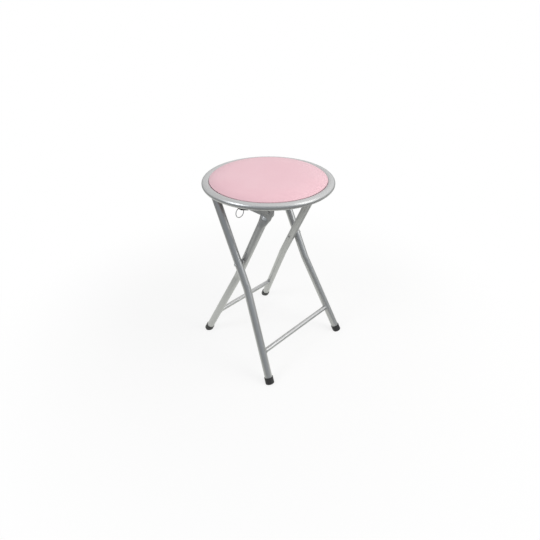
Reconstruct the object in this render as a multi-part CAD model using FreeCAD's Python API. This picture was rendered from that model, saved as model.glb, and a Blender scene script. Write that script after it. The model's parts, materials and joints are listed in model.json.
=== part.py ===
import FreeCAD, Part
import math
import os

# Folding stool, millimetres. Origin on the floor below the middle of the seat.
# +X is the way the outer legs' feet point, Y is the folding axis, +Z is up.

# Seat ring and cushion
seat_diameter = 300.0
ring_width = 19.0          # seat ring's oval tube, across
ring_depth = 15.0          # and up and down
ring_wall = 1.2
ring_height = 450.0        # floor to the ring tube's centre
cushion_gap = 0.35         # between the cushion's side and the ring
cover_thickness = 1.0
cover_slack = 0.1          # between the cover and what it wraps
hem_width = 18.0           # cover turned in under the board
board_thickness = 8.0
edge_share = 0.8           # cushion's edge above the ring's centre, in half ring depths
edge_gap = 1.0             # between the cushion's edge and the ring
edge_fold = 2.2            # depth of the cover's folded edge, in cover thicknesses
shoulder_rise = 10.8       # cushion's shoulder above its edge
shoulder_width = 28.8
crown_rise = 2.0           # cushion's middle above its shoulder

# Legs
leg_tube = 19.0
leg_wall = 1.2
pivot_height = 275.5
pivot_offset = 2.8         # crossing pivot ahead of the seat's middle
outer_reach = 136.0        # crossing pivot to the outer feet, along X
inner_reach = 132.6        # crossing pivot to the inner feet, along X
inner_half = 80.8          # middle plane to the inner legs, at the crossing
pivot_gap = 3.65           # between the outer and inner tubes at the crossing
taper = 0.022              # sideways slope of the upper legs
bend_height = 216.0
bend_radius = 60.0
splay = 32.2               # sideways, from the bend to the floor
outer_top_drop = 16.0      # seat ring's centre down to the end of the outer tubes
bar_tube = 12.0
bar_wall = 1.0
outer_bar_height = 71.7
inner_bar_height = 74.2
rest_bar_drop = 24.0       # seat ring's centre down to the rest bar
weld_gap = 0.1             # between welded pieces
cut_past = 1.0             # how far a cut runs past a face

# Foot caps
foot_wall = 1.5
foot_length = 16.5         # from the floor to the cap's mouth, along the leg
foot_end = -1.0            # to the cap's end, which the floor cuts flat at its low side
foot_floor = 9.0           # to the tube's end
foot_round = 2.5
fit_gap = 0.05             # radial, for pins in holes and caps on tubes

# Rivets
pivot_rivet = 6.0
pivot_head = 8.5
pivot_head_height = 1.8
spacer_diameter = 12.0
seat_rivet = 6.0
seat_head = 12.0
seat_head_height = 2.4
head_round = 0.8           # edge rounding of the heads, as a share of their height
swing_gap = 0.35           # between pieces that turn past each other

# Rails under the seat
seat_hinge_drop = 26.0     # seat ring's centre down to the seat hinge
flat_start = 15.5          # hinge to the end of the flattened tube
oval_start = 22.0          # hinge to where it has opened to an oval
oval_width = 26.3
oval_depth = 9.6
round_start = 41.8         # hinge to the end of the round tube
lug_slit = 0.8             # left inside the flattened tube
lug_end = 13.0             # hinge to the lug's end
lug_corner = 5.0
rail_sheet = 2.0
rail_depth = 35.0
rail_flange = 20.0
rail_slide_gap = 0.2       # between a lug and its rail
hinge_round = 15.0         # rail's corner about the hinge
relief_back = 25.1         # hinge to the end of the rail's cut-out for the inner leg
relief_front = 12.0        # hinge to the start of the cut-out
relief_drop = 9.0          # hinge down to the top of the cut-out
hook_width = 18.0          # rail's finger behind the rest bar
hook_depth = 26.0
notch_gap = 0.3            # between the rest bar and its notch
notch_mouth = 32.0         # notch's width at the rail's lower edge
notch_top = 14.0           # notch's width at the rest bar
screw_diameter = 4.0
screw_head = 8.5
screw_head_height = 2.4
screw_depth = 6.0          # into the board
screw_round = 0.6          # edge rounding of the heads, as a share of their height
screw_place = 45.0         # each side of the middle

# Catch, on the near rail
catch_sheet = 2.5
catch_height = 10.0
catch_drop = 21.0          # seat ring's centre down to the catch's centre line
catch_travel = 12.0
catch_nose = 7.4           # rest bar's centre to the nose, at its height
nose_lean = 0.5            # nose's slope, along X for each mm down
catch_end = 16.0           # right end of the catch
guide_rivet = 4.0
guide_head = 8.0
guide_head_height = 2.0
first_guide = 27.5         # rest bar to the first guide rivet
second_guide = 8.0         # seat's middle to the second
tab_left = -20.5
tab_right = 14.0
tab_drop = 50.1            # seat ring's centre down to the tab's lowest edge
tab_edge = 13.0            # end of that edge, from the tab's left
tab_slope = 7.0            # from there up to the tab's right
tab_corner = 2.0
ring_hole_x = -14.5
ring_hole_drop = 46.8      # seat ring's centre down to the pull ring's hole
ear_reach = 9.0            # catch's and rail's ears, out from their sheets
spring_wire = 0.9
spring_diameter = 7.0
spring_length = 23.0
spring_turns = 6
pull_ring_diameter = 25.0
pull_ring_wire = 1.8
pull_ring_slack = 0.4      # radial, ring wire in its hole

# Worked out from the sizes above
Vector = FreeCAD.Vector
near = -1
far = 1
up = Vector(0, 0, 1)
ring_radius = (seat_diameter - ring_width) / 2
ring_bottom = ring_height - ring_depth / 2
outer_half = inner_half + leg_tube + pivot_gap
outer_lean = outer_reach / pivot_height
inner_lean = -inner_reach / pivot_height
board_bottom = ring_bottom + cover_thickness
board_top = board_bottom + board_thickness
side_radius = ring_radius - ring_width / 2 - cushion_gap
board_radius = side_radius - cover_thickness - cover_slack
rail_top = ring_bottom - weld_gap
rail_low = rail_top - rail_depth
lug_width = math.pi * (leg_tube - leg_wall) / 2 + leg_wall
lug_thickness = 2 * leg_wall + lug_slit
outer_top_height = ring_height - outer_top_drop
rest_bar_height = ring_height - rest_bar_drop
seat_hinge_height = ring_height - seat_hinge_drop
catch_middle = ring_height - catch_drop
tab_low = ring_height - tab_drop
ring_hole_height = ring_height - ring_hole_drop


def half_width(half, z):
    if z >= bend_height:
        return half + taper * (pivot_height - z)
    at_bend = half + taper * (pivot_height - bend_height)
    return at_bend + splay * (bend_height - z) / bend_height


def leg_point(side, half, lean, z):
    return Vector(pivot_offset + lean * (pivot_height - z), side * half_width(half, z), z)


rest_bar_x = leg_point(near, outer_half, outer_lean, rest_bar_height).x
hinge_x = leg_point(near, inner_half, inner_lean, seat_hinge_height).x
hinge_half = half_width(inner_half, seat_hinge_height)
guide_places = (rest_bar_x + first_guide, second_guide)
web_outside = hinge_half - lug_thickness / 2 - rail_slide_gap
web_inside = web_outside - rail_sheet
catch_inside = web_outside + rail_slide_gap
catch_outside = catch_inside + catch_sheet
catch_low = catch_middle - catch_height / 2
catch_high = catch_middle + catch_height / 2
catch_plane = (catch_inside + catch_outside) / 2


def rod(start, end, radius):
    along = end - start
    return Part.makeCylinder(radius, along.Length, start, along)


def rod_y(x, z, y1, y2, radius):
    return rod(Vector(x, y1, z), Vector(x, y2, z), radius)


def plate(points, y1, y2):
    """Flat sheet: an outline of (x, z) corners, from y1 to y2."""
    corners = [Vector(x, y1, z) for x, z in points]
    return Part.Face(Part.makePolygon(corners + corners[:1])).extrude(Vector(0, y2 - y1, 0))


def box(x1, x2, y1, y2, z1, z2):
    return Part.makeBox(x2 - x1, y2 - y1, z2 - z1, Vector(x1, y1, z1))


def revolved(edges):
    return Part.Face(Part.Wire(edges)).revolve(Vector(0, 0, 0), up, 360)


def line(a, b):
    return Part.LineSegment(a, b).toShape()


def arc(a, middle, b):
    return Part.Arc(a, middle, b).toShape()


def bent_path(top, bend, foot):
    """Straight runs from top to bend to foot, with a tangent arc at the bend."""
    to_top = (top - bend).normalize()
    to_foot = (foot - bend).normalize()
    half_turn = (math.pi - to_top.getAngle(to_foot)) / 2
    back = bend_radius * math.tan(half_turn)
    inward = (to_top + to_foot).normalize()
    crest = bend + inward * (bend_radius / math.cos(half_turn) - bend_radius)
    first = bend + to_top * back
    last = bend + to_foot * back
    return [line(top, first), arc(first, crest, last), line(last, foot)]


def swept(edges, radius):
    start = edges[0].Vertexes[0].Point
    along = edges[0].Vertexes[1].Point - start
    ring = Part.Wire(Part.makeCircle(radius, start, along))
    return Part.Wire(edges).makePipeShell([ring], True, False)


def tube_along(edges, diameter, wall):
    return swept(edges, diameter / 2).cut(swept(edges, diameter / 2 - wall))


def foot_frame(side, half, lean):
    """Where the leg's axis meets the floor, and the way up along it."""
    floor = leg_point(side, half, lean, 0)
    bend = leg_point(side, half, lean, bend_height)
    return floor, (bend - floor).normalize()


def outer_leg(side):
    floor, rise = foot_frame(side, outer_half, outer_lean)
    top = leg_point(side, outer_half, outer_lean, outer_top_height)
    bend = leg_point(side, outer_half, outer_lean, bend_height)
    leg = tube_along(bent_path(top, bend, floor + rise * foot_floor), leg_tube, leg_wall)
    return leg.cut(pivot_bore(side))


def pivot_bore(side):
    reach = outer_half + leg_tube
    return rod_y(pivot_offset, pivot_height, 0, side * reach, pivot_rivet / 2 + fit_gap)


def four_arcs(centre, across, thick, width, depth, corner):
    """Oval in four arcs, split at the corner angle each side of the across direction."""
    def at(angle):
        return centre + across * (width / 2 * math.cos(angle)) + thick * (depth / 2 * math.sin(angle))
    stops = [corner, math.pi - corner, math.pi + corner, 2 * math.pi - corner, 2 * math.pi + corner]
    edges = [arc(at(a), at((a + b) / 2), at(b)) for a, b in zip(stops, stops[1:])]
    return Part.Wire(edges)


def four_lines(centre, across, thick, width, thickness):
    a = across * (width / 2)
    t = thick * (thickness / 2)
    corners = [centre + a + t, centre - a + t, centre - a - t, centre + a - t]
    return Part.makePolygon(corners + corners[:1])


def flattening(round_end, oval, flat_end, across, down, inset):
    """Loft from the round tube, square to down, by an oval to a flat section in line with Y."""
    corner = math.atan2(lug_thickness, lug_width)
    flat_thick = Vector(0, 1, 0)
    round_thick = down.cross(across).normalize()
    if round_thick.dot(flat_thick) < 0:
        round_thick = round_thick * -1
    tube = leg_tube - 2 * inset
    wires = [four_arcs(round_end, across, round_thick, tube, tube, corner)]
    wires.append(four_arcs(oval, across, flat_thick, oval_width - 2 * inset, oval_depth - 2 * inset, corner))
    wires.append(four_lines(flat_end, across, flat_thick, lug_width - 2 * inset, lug_thickness - 2 * inset))
    return Part.makeLoft(wires, True, True)


def inner_leg(side):
    floor, rise = foot_frame(side, inner_half, inner_lean)
    bend = leg_point(side, inner_half, inner_lean, bend_height)
    hinge = Vector(hinge_x, side * hinge_half, seat_hinge_height)
    down = (leg_point(side, inner_half, inner_lean, pivot_height) - hinge).normalize()
    round_end = hinge + down * round_start
    flat_down = Vector(down.x, 0, down.z).normalize()
    flat_end = hinge + flat_down * flat_start
    across = Vector(0, 1, 0).cross(flat_down).normalize()
    edges = bent_path(round_end, bend, floor + rise * foot_floor)
    tube = tube_along(edges, leg_tube, leg_wall)
    oval = hinge + down * oval_start
    neck = flattening(round_end, oval, flat_end, across, down, 0)
    neck = neck.cut(flattening(round_end, oval, flat_end, across, down, leg_wall))
    y1 = side * hinge_half - lug_thickness / 2
    y2 = y1 + lug_thickness
    half = across * (lug_width / 2)
    inside = across * (lug_width / 2 - lug_corner)
    end = hinge - flat_down * lug_end
    turn = end + flat_down * lug_corner
    corners = [flat_end + half, turn + half, end + inside, end - inside, turn - half, flat_end - half]
    lug = plate([(p.x, p.z) for p in corners], y1, y2)
    lug = lug.fuse([rod_y(p.x, p.z, y1, y2, lug_corner) for p in (turn + inside, turn - inside)])
    leg = tube.fuse([neck, lug]).removeSplitter()
    hole = rod_y(hinge_x, seat_hinge_height, y1 - cut_past, y2 + cut_past, seat_rivet / 2 + fit_gap)
    return leg.cut(hole.fuse(pivot_bore(side)))


def foot(side, half, lean):
    floor, rise = foot_frame(side, half, lean)
    radius = leg_tube / 2 + foot_wall
    cap = rod(floor + rise * foot_end, floor + rise * foot_length, radius)
    rims = sorted((e for e in cap.Edges if e.Closed), key=lambda e: e.BoundBox.Center.z)
    cap = cap.makeFillet(foot_round, rims[:1])
    below = box(-seat_diameter, seat_diameter, -seat_diameter, seat_diameter, -4 * radius, 0)
    cap = cap.cut(below)
    socket_floor = floor + rise * (foot_floor - weld_gap)
    socket_mouth = floor + rise * (foot_length + cut_past)
    return cap.cut(rod(socket_floor, socket_mouth, leg_tube / 2 + fit_gap))


def crossbar(half, lean, z):
    """Tube between two legs, its ends shaped to them."""
    x = leg_point(near, half, lean, z).x
    reach = half_width(half, z)
    bar = rod_y(x, z, -reach, reach, bar_tube / 2)
    bar = bar.cut(rod_y(x, z, -reach, reach, bar_tube / 2 - bar_wall))
    for side in (near, far):
        above = leg_point(side, half, lean, z + leg_tube)
        below = leg_point(side, half, lean, z - leg_tube)
        bar = bar.cut(rod(below, above, leg_tube / 2 + weld_gap))
    return bar


def domed_head(x, z, y, outward, diameter, height):
    """Round head on the plane y, pointing outward along Y."""
    top = y + outward * height
    base = rod_y(x, z, y, top, diameter / 2)
    rim = [e for e in base.Edges if e.Closed and abs(e.BoundBox.Center.y - top) < height / 2]
    return base.makeFillet(height * head_round, rim)


def pivot_rivet_piece(side):
    pivot_outer = half_width(outer_half, pivot_height) + leg_tube / 2 + weld_gap
    pivot_inner = half_width(inner_half, pivot_height) - leg_tube / 2 - swing_gap
    shank = rod_y(pivot_offset, pivot_height, side * pivot_inner, side * pivot_outer, pivot_rivet / 2)
    head = domed_head(pivot_offset, pivot_height, side * pivot_outer, side, pivot_head, pivot_head_height)
    tail = domed_head(pivot_offset, pivot_height, side * pivot_inner, -side, pivot_head, pivot_head_height)
    return shank.fuse([head, tail]).removeSplitter()


def pivot_spacer(side):
    middle = (outer_half + inner_half) / 2
    thickness = pivot_gap - 2 * swing_gap
    y1 = side * (middle - thickness / 2)
    y2 = side * (middle + thickness / 2)
    ring = rod_y(pivot_offset, pivot_height, y1, y2, spacer_diameter / 2)
    return ring.cut(rod_y(pivot_offset, pivot_height, y1, y2, pivot_rivet / 2 + fit_gap))


def seat_rivet_piece(side):
    outside = hinge_half + lug_thickness / 2 + rail_slide_gap
    shank = rod_y(hinge_x, seat_hinge_height, side * web_inside, side * outside, seat_rivet / 2)
    head = domed_head(hinge_x, seat_hinge_height, side * outside, side, seat_head, seat_head_height)
    tail = domed_head(hinge_x, seat_hinge_height, side * web_inside, -side, seat_head, seat_head_height)
    return shank.fuse([head, tail]).removeSplitter()


def ring_inside(share):
    """Radius of the ring's inner surface, at a height in half ring depths above its centre."""
    return ring_radius - ring_width / 2 * math.sqrt(1 - share ** 2)


def cushion_outline(inset):
    """Edge, shoulder and crown of the cushion, moved in by inset; ends at the middle."""
    edge_r = ring_inside(edge_share) - edge_gap
    edge_z = ring_height + edge_share * ring_depth / 2
    shoulder_r = edge_r - shoulder_width
    shoulder_z = edge_z + shoulder_rise
    crown_radius = (shoulder_r ** 2 + crown_rise ** 2) / (2 * crown_rise)
    crown_z = shoulder_z + crown_rise
    start = math.asin(shoulder_r / crown_radius)
    chord = math.hypot(shoulder_width, shoulder_rise)
    turn = 2 * (math.atan2(shoulder_rise, shoulder_width) - start)
    bend = chord / (2 * math.sin(turn / 2))
    centre_r = shoulder_r - bend * math.sin(start)
    centre_z = shoulder_z - bend * math.cos(start)

    def shoulder(angle):
        reach = bend - inset
        return Vector(centre_r + reach * math.sin(angle), 0, centre_z + reach * math.cos(angle))

    def crown(angle):
        reach = crown_radius - inset
        return Vector(reach * math.sin(angle), 0, crown_z - crown_radius + reach * math.cos(angle))

    end = math.asin((edge_r - edge_fold * inset - centre_r) / (bend - inset))
    low = shoulder(end)
    high = shoulder(start)
    edges = [arc(low, shoulder((start + end) / 2), high), arc(high, crown(start / 2), crown(0))]
    return low, edges, crown(0)


def cushion_inside(inset, radius):
    low, edges, top = cushion_outline(inset)
    foot_point = Vector(radius, 0, board_top)
    base = Vector(0, 0, board_top)
    return revolved([line(base, foot_point), line(foot_point, low)] + edges + [line(top, base)])


def seat_cover():
    low, edges, top = cushion_outline(0)
    waist = Vector(side_radius, 0, ring_height)
    halfway = ring_inside(edge_share / 2) - cushion_gap
    middle = Vector(halfway, 0, ring_height + edge_share * ring_depth / 4)
    outer_foot = Vector(side_radius, 0, ring_bottom)
    base = Vector(0, 0, ring_bottom)
    sides = [line(base, outer_foot), line(outer_foot, waist), arc(waist, middle, low)]
    skin = revolved(sides + edges + [line(top, base)])
    pocket = Part.makeCylinder(board_radius + cover_slack, board_thickness, Vector(0, 0, board_bottom))
    opening = Part.makeCylinder(side_radius - hem_width, cover_thickness, Vector(0, 0, ring_bottom))
    return skin.cut(pocket.fuse([opening, cushion_inside(cover_thickness, board_radius + cover_slack)]))


def screw_places():
    middle = web_outside - rail_flange / 2
    return [(x, y) for y in (-middle, middle) for x in (-screw_place, screw_place)]


def seat_board():
    board = Part.makeCylinder(board_radius, board_thickness, Vector(0, 0, board_bottom))
    hole_radius = screw_diameter / 2 + fit_gap
    for x, y in screw_places():
        base = Vector(x, y, board_bottom)
        board = board.cut(Part.makeCylinder(hole_radius, screw_depth + fit_gap, base))
    return board


def board_screws():
    screws = []
    under = rail_top - rail_sheet
    length = board_bottom + screw_depth - under
    for x, y in screw_places():
        shank = Part.makeCylinder(screw_diameter / 2, length, Vector(x, y, under))
        head = Part.makeCylinder(screw_head / 2, screw_head_height, Vector(x, y, under - screw_head_height))
        rim = [e for e in head.Edges if e.Closed and e.BoundBox.ZMax < under - screw_head_height / 2]
        head = head.makeFillet(screw_head_height * screw_round, rim)
        screws.append(shank.fuse(head).removeSplitter())
    return Part.makeCompound(screws)


def seat_rail(side):
    under = rail_top - rail_sheet
    hook_right = rest_bar_x - bar_tube / 2 - notch_gap
    hook_left = hook_right - hook_width
    notch_high = rest_bar_height + bar_tube / 2 + notch_gap
    right = hinge_x + hinge_round
    relief_x = hinge_x - relief_back
    relief_z = seat_hinge_height - relief_drop
    outline = [(hook_left, under), (hook_left, under - hook_depth), (hook_right, under - hook_depth)]
    outline += [(hook_right, notch_high), (hook_right + notch_top, notch_high)]
    outline += [(hook_right + notch_top + notch_mouth - bar_tube, rail_low), (relief_x, rail_low)]
    outline += [(relief_x, relief_z), (hinge_x - relief_front, relief_z), (hinge_x, seat_hinge_height)]
    outline += [(right, seat_hinge_height), (right, under)]
    y1, y2 = sorted((side * web_outside, side * web_inside))
    web = plate(outline, y1, y2).fuse(rod_y(hinge_x, seat_hinge_height, y1, y2, hinge_round))
    flange_inside = side * (web_outside - rail_flange)
    f1, f2 = sorted((side * web_outside, flange_inside))
    reach = math.sqrt(ring_radius ** 2 - max(abs(f1), abs(f2)) ** 2)
    rail = web.fuse(box(-reach, reach, f1, f2, under, rail_top))
    if side == near:
        ear_x = catch_end + spring_length + 2 * weld_gap
        ear = box(ear_x, ear_x + rail_sheet, -web_outside - ear_reach, -web_outside, catch_low, catch_high)
        rail = rail.fuse(ear)
        for x in guide_places:
            rail = rail.cut(rod_y(x, catch_middle, y1, y2, guide_rivet / 2 + fit_gap))
    rail = rail.removeSplitter().cut(rod_y(hinge_x, seat_hinge_height, y1, y2, seat_rivet / 2 + fit_gap))
    hole_radius = screw_diameter / 2 + fit_gap
    for x, y in screw_places():
        if y * side > 0:
            rail = rail.cut(Part.makeCylinder(hole_radius, rail_sheet, Vector(x, y, under)))
    return rail


def catch_plate():
    nose = rest_bar_x + catch_nose
    nose_high = nose + nose_lean * (rest_bar_height - catch_high)
    nose_low = nose + nose_lean * (rest_bar_height - catch_low)
    outline = [(nose_high, catch_high), (catch_end, catch_high), (catch_end, catch_low)]
    outline += [(tab_right, catch_low), (tab_right, tab_low + tab_slope), (tab_left + tab_edge, tab_low)]
    outline += [(tab_left + tab_corner, tab_low), (tab_left, tab_low + tab_corner)]
    outline += [(tab_left, catch_low), (nose_low, catch_low)]
    y1, y2 = -catch_outside, -catch_inside
    strip = plate(outline, y1, y2)
    ear = box(catch_end - catch_sheet, catch_end, -web_outside - ear_reach, y2, catch_low, catch_high)
    strip = strip.fuse(ear).removeSplitter()
    slot_radius = guide_rivet / 2 + fit_gap
    for x in guide_places:
        slot = box(x - catch_travel, x, y1, y2, catch_middle - slot_radius, catch_middle + slot_radius)
        ends = [rod_y(end, catch_middle, y1, y2, slot_radius) for end in (x - catch_travel, x)]
        strip = strip.cut(slot.fuse(ends))
    return strip.cut(rod_y(ring_hole_x, ring_hole_height, y1, y2, pull_ring_wire / 2 + pull_ring_slack))


def catch_guides():
    rivets = []
    outside = -catch_outside - rail_slide_gap
    for x in guide_places:
        shank = rod_y(x, catch_middle, -web_inside, outside, guide_rivet / 2)
        head = domed_head(x, catch_middle, outside, -1, guide_head, guide_head_height)
        tail = domed_head(x, catch_middle, -web_inside, 1, guide_head, guide_head_height)
        rivets.append(shank.fuse([head, tail]).removeSplitter())
    return Part.makeCompound(rivets)


def tangent_arc(start, along, end):
    """Arc from start, leaving in the direction along, to end."""
    chord = end - start
    unit = Vector(chord).normalize()
    angle = along.getAngle(unit)
    side = (along - unit * along.dot(unit)).normalize()
    return arc(start, start + chord * 0.5 + side * (chord.Length / 2 * math.tan(angle / 2)), end)


def biarc(p0, t0, p1, t1):
    """Two arcs, tangent to each other, from p0 along t0 to p1 along t1."""
    v = p1 - p0
    t = t0 + t1
    spread = 2 * (1 - t0.dot(t1))
    d = (-v.dot(t) + math.sqrt(v.dot(t) ** 2 + spread * v.dot(v))) / spread
    joint = (p0 + p1 + (t0 - t1) * d) * 0.5
    return [tangent_arc(p0, t0, joint), tangent_arc(p1, t1 * -1, joint)]


def catch_spring():
    """Coil along X; its wire leaves each end straight, square to the ears."""
    radius = (spring_diameter - spring_wire) / 2
    y = -web_outside - ear_reach / 2 - catch_sheet / 2
    lead = 2 * radius
    start = catch_end + weld_gap
    pitch = (spring_length - 2 * lead) / spring_turns
    rate = pitch / (2 * math.pi)

    def at(angle):
        x = start + lead + rate * angle
        return Vector(x, y + radius * math.cos(angle), catch_middle + radius * math.sin(angle))

    def along(angle):
        return Vector(rate, -radius * math.sin(angle), radius * math.cos(angle)).normalize()

    axis = Vector(1, 0, 0)
    last = 2 * math.pi * spring_turns
    first_point = Vector(start, at(-math.pi / 2).y, at(-math.pi / 2).z)
    last_point = Vector(start + spring_length, at(last + math.pi / 2).y, at(last + math.pi / 2).z)
    first_turn = first_point + axis * spring_wire
    last_turn = last_point - axis * spring_wire
    edges = [line(first_point, first_turn)] + biarc(first_turn, axis, at(0), along(0))
    for half in range(2 * spring_turns):
        a = half * math.pi
        edges += biarc(at(a), along(a), at(a + math.pi), along(a + math.pi))
    edges += biarc(at(last), along(last), last_turn, axis) + [line(last_turn, last_point)]
    print("catch spring, least gap between turns:", round(pitch - spring_wire, 2), "mm")
    wire = Part.Wire(Part.sortEdges(edges)[0])
    circle = Part.Wire(Part.makeCircle(spring_wire / 2, first_point, axis))
    return wire.makePipeShell([circle], True, False)


def pull_ring():
    radius = (pull_ring_diameter - pull_ring_wire) / 2
    centre = Vector(ring_hole_x, -catch_plane, ring_hole_height - radius)
    return Part.makeTorus(radius, pull_ring_wire / 2, centre, Vector(1, 0, 0))


def oval_ring(inset):
    centre = Vector(ring_radius, 0, ring_height)
    across = centre + Vector(ring_width / 2 - inset, 0, 0)
    section = Part.Ellipse(across, centre + up * (ring_depth / 2 - inset), centre)
    return revolved([section.toShape()])


def seat_ring():
    return oval_ring(0).cut(oval_ring(ring_wall))


def rest_bar():
    return crossbar(outer_half, outer_lean, rest_bar_height)


pieces = {
    "seat_ring": seat_ring(),
    "seat_board": seat_board(),
    "seat_foam": cushion_inside(cover_thickness + cover_slack, board_radius),
    "seat_cover": seat_cover(),
    "board_screws": board_screws(),
    "outer_crossbar": crossbar(outer_half, outer_lean, outer_bar_height),
    "inner_crossbar": crossbar(inner_half, inner_lean, inner_bar_height),
    "rest_bar": rest_bar(),
    "catch_plate": catch_plate(),
    "catch_guides": catch_guides(),
    "catch_spring": catch_spring(),
    "pull_ring": pull_ring(),
}
for side, word in ((near, "near"), (far, "far")):
    pieces["outer_leg_" + word] = outer_leg(side)
    pieces["inner_leg_" + word] = inner_leg(side)
    pieces["outer_foot_" + word] = foot(side, outer_half, outer_lean)
    pieces["inner_foot_" + word] = foot(side, inner_half, inner_lean)
    pieces["pivot_rivet_" + word] = pivot_rivet_piece(side)
    pieces["pivot_spacer_" + word] = pivot_spacer(side)
    pieces["seat_rail_" + word] = seat_rail(side)
    pieces["seat_rivet_" + word] = seat_rivet_piece(side)

os.makedirs("parts", exist_ok=True)
for name, shape in pieces.items():
    shape.exportStep("parts/" + name + ".step")
    print(name, "solids", len(shape.Solids), "valid", shape.isValid(), "volume", round(shape.Volume, 1))
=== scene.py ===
import json
import math
import bmesh
import bpy
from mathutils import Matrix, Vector, noise
from mathutils.bvhtree import BVHTree

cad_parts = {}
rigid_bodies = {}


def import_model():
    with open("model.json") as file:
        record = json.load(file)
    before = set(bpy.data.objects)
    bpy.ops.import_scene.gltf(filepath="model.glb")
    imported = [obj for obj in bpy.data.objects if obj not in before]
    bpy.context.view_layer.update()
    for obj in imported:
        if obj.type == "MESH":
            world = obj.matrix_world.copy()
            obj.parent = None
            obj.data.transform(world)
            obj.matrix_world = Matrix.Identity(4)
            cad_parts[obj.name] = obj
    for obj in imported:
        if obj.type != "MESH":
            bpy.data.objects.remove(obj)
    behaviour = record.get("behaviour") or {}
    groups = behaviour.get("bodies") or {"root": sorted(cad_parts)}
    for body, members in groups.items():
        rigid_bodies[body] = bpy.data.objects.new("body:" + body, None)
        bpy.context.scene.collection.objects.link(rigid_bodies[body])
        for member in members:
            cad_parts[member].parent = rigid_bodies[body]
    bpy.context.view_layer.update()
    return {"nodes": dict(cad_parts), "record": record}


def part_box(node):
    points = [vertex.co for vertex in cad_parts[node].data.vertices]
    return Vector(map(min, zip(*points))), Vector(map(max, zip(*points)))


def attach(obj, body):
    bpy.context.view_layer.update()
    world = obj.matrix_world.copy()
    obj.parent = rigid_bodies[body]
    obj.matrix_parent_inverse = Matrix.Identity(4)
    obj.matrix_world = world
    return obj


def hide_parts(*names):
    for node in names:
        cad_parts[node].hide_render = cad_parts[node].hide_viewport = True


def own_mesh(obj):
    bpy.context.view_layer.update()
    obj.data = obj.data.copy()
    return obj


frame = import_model()
nodes = frame["nodes"]
scene = bpy.context.scene
print("frame loaded:", len(nodes), "nodes")


class Val:  # a shader socket that takes part in sums
    def __init__(self, net, socket):
        self.net = net
        self.socket = socket

    def calc(self, operation, a, b):
        return self.net.node("ShaderNodeMath", {"operation": operation}, {0: a, 1: b})

    def __add__(self, other):
        return self.calc("ADD", self, other)

    def __sub__(self, other):
        return self.calc("SUBTRACT", self, other)

    def __rsub__(self, other):
        return self.calc("SUBTRACT", other, self)

    def __mul__(self, other):
        return self.calc("MULTIPLY", self, other)

    __radd__ = __add__
    __rmul__ = __mul__


class Net:  # a shader node tree
    def __init__(self, tree):
        self.tree = tree
        tree.nodes.clear()

    def node(self, kind, settings=None, sockets=None, out=0):
        made = self.tree.nodes.new(kind)
        for key, value in (settings or {}).items():
            setattr(made, key, value)
        for key, value in (sockets or {}).items():
            if isinstance(value, Val):
                self.tree.links.new(value.socket, made.inputs[key])
            else:
                made.inputs[key].default_value = value
        return Val(self, made.outputs[out]) if made.outputs else None

    def mixed(self, factor, a, b):  # 6, 7 and 2 are the colour sockets
        return self.node("ShaderNodeMix", {"data_type": "RGBA"}, {0: factor, 6: a, 7: b}, out=2)

    def place(self):  # Object coordinates
        return self.node("ShaderNodeTexCoord", out=3)

    def axis(self, vector, index):
        return self.node("ShaderNodeSeparateXYZ", sockets={0: vector}, out=index)

    def stretched(self, vector, scale):
        return self.node("ShaderNodeMapping", sockets={"Vector": vector, "Scale": scale})

    def cloud(self, vector, scale, detail=3.0, rough=0.5):
        sockets = {"Vector": vector, "Scale": scale, "Detail": detail, "Roughness": rough}
        return self.node("ShaderNodeTexNoise", sockets=sockets)

    def cells(self, vector, scale, feature="F1"):
        sockets = {"Vector": vector, "Scale": scale}
        return self.node("ShaderNodeTexVoronoi", {"feature": feature}, sockets)

    def step(self, value, low, high):  # 0 below low, 1 above high
        sockets = {"Value": value, "From Min": low, "From Max": high}
        return self.node("ShaderNodeMapRange", {"interpolation_type": "SMOOTHSTEP"}, sockets)

    def larger(self, a, b):
        return self.node("ShaderNodeMath", {"operation": "MAXIMUM"}, {0: a, 1: b})

    def bump(self, height, strength, depth, under=None):
        sockets = {"Strength": strength, "Distance": depth, "Height": height}
        if under:
            sockets["Normal"] = under
        return self.node("ShaderNodeBump", sockets=sockets)

    def surface(self, sockets):
        shader = self.node("ShaderNodeBsdfPrincipled", sockets=sockets)
        self.node("ShaderNodeOutputMaterial", sockets={"Surface": shader})


def newFinish(name):
    material = bpy.data.materials.new(name)
    material.use_nodes = True
    return material, Net(material.node_tree)


def rgba(colour):
    return (*colour, 1.0)


# in the finishes, a Band is where a mask goes from 0 to 1, a Share is how much it mixes in,
# and a Bump is the strength and the depth in metres
silverSpec = {
    "colour": (0.52, 0.523, 0.52),
    "darkFlake": (0.42, 0.423, 0.425),
    "pale": (0.58, 0.59, 0.60),
    "flakesPerMetre": 1500.0,
    "flakeShare": 0.7,
    "driftPerMetre": 14.0,
    "driftBand": (0.35, 0.75),
    "driftShare": 0.16,
    "scuffStretch": (90.0, 90.0, 40.0),
    "scuffScale": 3.0,
    "scuffBreakup": 0.62,
    "scuffBand": (0.66, 0.74),
    "metallic": 0.70,
    "roughness": 0.33,
    "roughDrift": 0.10,
    "roughScuff": 0.07,
    "peelPerMetre": 260.0,     # orange peel of the paint
    "peelBump": (0.02, 0.0003),
    "flakeBump": (0.006, 0.0001),
    "coat": 0.12,
    "coatRoughness": 0.30,
}


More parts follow.
